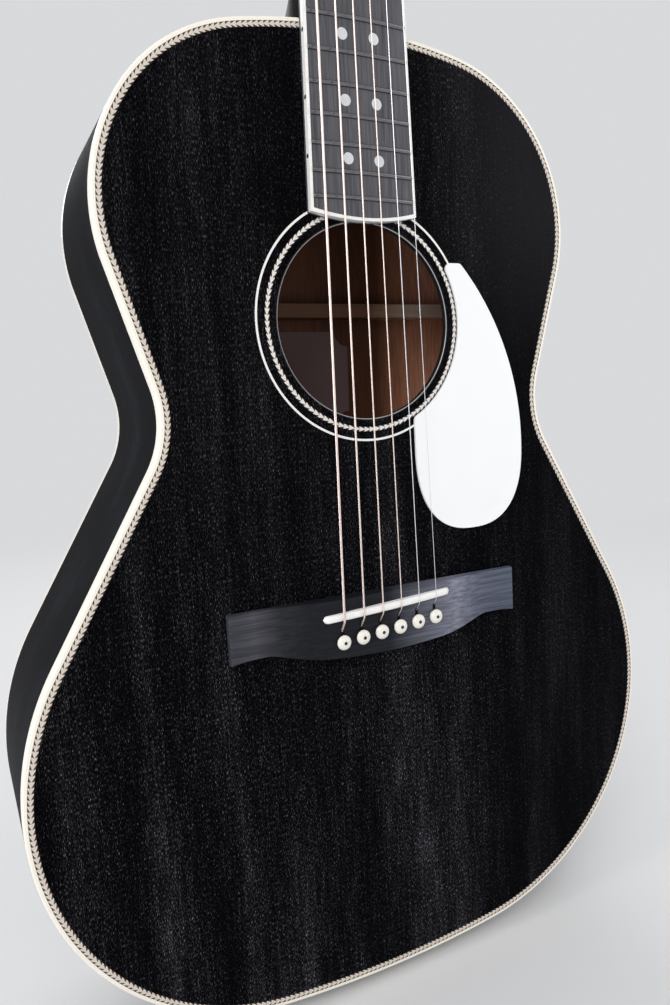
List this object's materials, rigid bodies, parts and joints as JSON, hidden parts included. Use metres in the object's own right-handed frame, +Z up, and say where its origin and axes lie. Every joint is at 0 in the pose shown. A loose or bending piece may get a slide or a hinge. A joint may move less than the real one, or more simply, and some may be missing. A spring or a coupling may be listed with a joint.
{
  "type": "acoustic_guitar",
  "caption": "Small-bodied acoustic guitar with a black-stained mahogany body, herringbone edging and rosette, a white pickguard, worm-gear tuning machines and a full set of strings.",
  "frame": {"origin": "the seat of the end pin: on the tail of the body, on the centre line, at half the tail's depth", "axes": "+Z runs up the neck along the centre line, +X to the treble side, +Y from the soundboard to the back"},
  "size_m": [0.364, 0.114, 1.026],
  "materials": {
    "black_stained_wood": "black-stained open-pore mahogany, satin",
    "bare_mahogany": "unfinished mahogany",
    "spruce": "unfinished spruce",
    "rosewood": "unfinished rosewood",
    "label_paper": "bare matt paper",
    "cream_plastic": "polished cream plastic",
    "white_plastic": "polished white plastic",
    "ivory_plastic": "polished off-white plastic",
    "black_plastic": "black plastic",
    "herringbone_wood": "herringbone marquetry of cream and brown wood",
    "grey_ebony": "oiled dark grey ebony",
    "dark_neck_wood": "black-stained mahogany, satin",
    "bone": "polished bone",
    "pearl": "mother of pearl",
    "nickel": "polished nickel",
    "steel": "plain steel",
    "brass_parts": "plain brass",
    "bronze_strings": "bronze-wound steel"
  },
  "bodies": {
    "guitar": {"soundboard": "black_stained_wood", "back_plate": "black_stained_wood", "bass_rib": "black_stained_wood", "treble_rib": "black_stained_wood", "neck_block": "bare_mahogany", "tail_block": "bare_mahogany", "top_linings": "spruce", "back_linings": "spruce", "top_braces": "spruce", "bridge_plate": "rosewood", "back_braces": "spruce", "paper_label": "label_paper", "top_binding": "cream_plastic", "top_purfling": "herringbone_wood", "back_binding": "cream_plastic", "rosette_rings": "white_plastic", "hole_edging": "black_plastic", "rosette_herringbone": "herringbone_wood", "bridge": "grey_ebony", "saddle": "bone", "bridge_pins": "ivory_plastic", "pickguard": "white_plastic", "end_pin": "ivory_plastic", "fingerboard": "grey_ebony", "fingerboard_binding": "white_plastic", "frets": "nickel", "position_markers": "pearl", "side_dots": "black_plastic", "nut": "bone", "neck": "dark_neck_wood", "head_veneer": "black_stained_wood", "truss_rod": "steel", "truss_rod_cover": "black_plastic", "headstock_screws": "nickel", "heel_cap": "cream_plastic", "tuner_plates": "nickel", "tuner_bushings": "nickel", "strings": "bronze_strings", "ball_ends": "brass_parts"},
    "key_1": {"worm_shaft_1": "nickel", "tuner_button_1": "ivory_plastic"},
    "post_1": {"string_post_1": "nickel"},
    "key_2": {"worm_shaft_2": "nickel", "tuner_button_2": "ivory_plastic"},
    "post_2": {"string_post_2": "nickel"},
    "key_3": {"worm_shaft_3": "nickel", "tuner_button_3": "ivory_plastic"},
    "post_3": {"string_post_3": "nickel"},
    "key_4": {"worm_shaft_4": "nickel", "tuner_button_4": "ivory_plastic"},
    "post_4": {"string_post_4": "nickel"},
    "key_5": {"worm_shaft_5": "nickel", "tuner_button_5": "ivory_plastic"},
    "post_5": {"string_post_5": "nickel"},
    "key_6": {"worm_shaft_6": "nickel", "tuner_button_6": "ivory_plastic"},
    "post_6": {"string_post_6": "nickel"},
    "truss_nut": {"truss_rod_nut": "brass_parts"}
  },
  "joints": [
    {"name": "turn_key_1", "type": "hinge", "parent": "guitar", "child": "key_1", "pos_m": [-0.022, -0.02146, 0.88018], "axis": [1, 0, 0], "range_deg": [-360, 360]},
    {"name": "turn_post_1", "type": "hinge", "parent": "guitar", "child": "post_1", "pos_m": [-0.022, -0.02462, 0.88872], "axis": [0, 0.9744, -0.225], "range_deg": [-25.8, 25.8]},
    {"name": "turn_key_2", "type": "hinge", "parent": "guitar", "child": "key_2", "pos_m": [-0.022, -0.01224, 0.92013], "axis": [1, 0, 0], "range_deg": [-360, 360]},
    {"name": "turn_post_2", "type": "hinge", "parent": "guitar", "child": "post_2", "pos_m": [-0.022, -0.0154, 0.92866], "axis": [0, 0.9744, -0.225], "range_deg": [-25.8, 25.8]},
    {"name": "turn_key_3", "type": "hinge", "parent": "guitar", "child": "key_3", "pos_m": [-0.022, -0.00302, 0.96008], "axis": [1, 0, 0], "range_deg": [-360, 360]},
    {"name": "turn_post_3", "type": "hinge", "parent": "guitar", "child": "post_3", "pos_m": [-0.022, -0.00618, 0.96861], "axis": [0, 0.9744, -0.225], "range_deg": [-25.8, 25.8]},
    {"name": "turn_key_4", "type": "hinge", "parent": "guitar", "child": "key_4", "pos_m": [0.022, -0.00302, 0.96008], "axis": [1, 0, 0], "range_deg": [-360, 360]},
    {"name": "turn_post_4", "type": "hinge", "parent": "guitar", "child": "post_4", "pos_m": [0.022, -0.00618, 0.96861], "axis": [0, 0.9744, -0.225], "range_deg": [-25.8, 25.8]},
    {"name": "turn_key_5", "type": "hinge", "parent": "guitar", "child": "key_5", "pos_m": [0.022, -0.01224, 0.92013], "axis": [1, 0, 0], "range_deg": [-360, 360]},
    {"name": "turn_post_5", "type": "hinge", "parent": "guitar", "child": "post_5", "pos_m": [0.022, -0.0154, 0.92866], "axis": [0, 0.9744, -0.225], "range_deg": [-25.8, 25.8]},
    {"name": "turn_key_6", "type": "hinge", "parent": "guitar", "child": "key_6", "pos_m": [0.022, -0.02146, 0.88018], "axis": [1, 0, 0], "range_deg": [-360, 360]},
    {"name": "turn_post_6", "type": "hinge", "parent": "guitar", "child": "post_6", "pos_m": [0.022, -0.02462, 0.88872], "axis": [0, 0.9744, -0.225], "range_deg": [-25.8, 25.8]},
    {"name": "turn_truss_nut", "type": "hinge", "parent": "guitar", "child": "truss_nut", "pos_m": [0, -0.0435, 0.84976], "axis": [0, 0, 1], "range_deg": [-45, 45]}
  ],
  "couplings": [
    {"joint": "turn_post_1", "follows": "turn_key_1", "ratio": -0.071429},
    {"joint": "turn_post_2", "follows": "turn_key_2", "ratio": -0.071429},
    {"joint": "turn_post_3", "follows": "turn_key_3", "ratio": -0.071429},
    {"joint": "turn_post_4", "follows": "turn_key_4", "ratio": 0.071429},
    {"joint": "turn_post_5", "follows": "turn_key_5", "ratio": 0.071429},
    {"joint": "turn_post_6", "follows": "turn_key_6", "ratio": 0.071429}
  ]
}
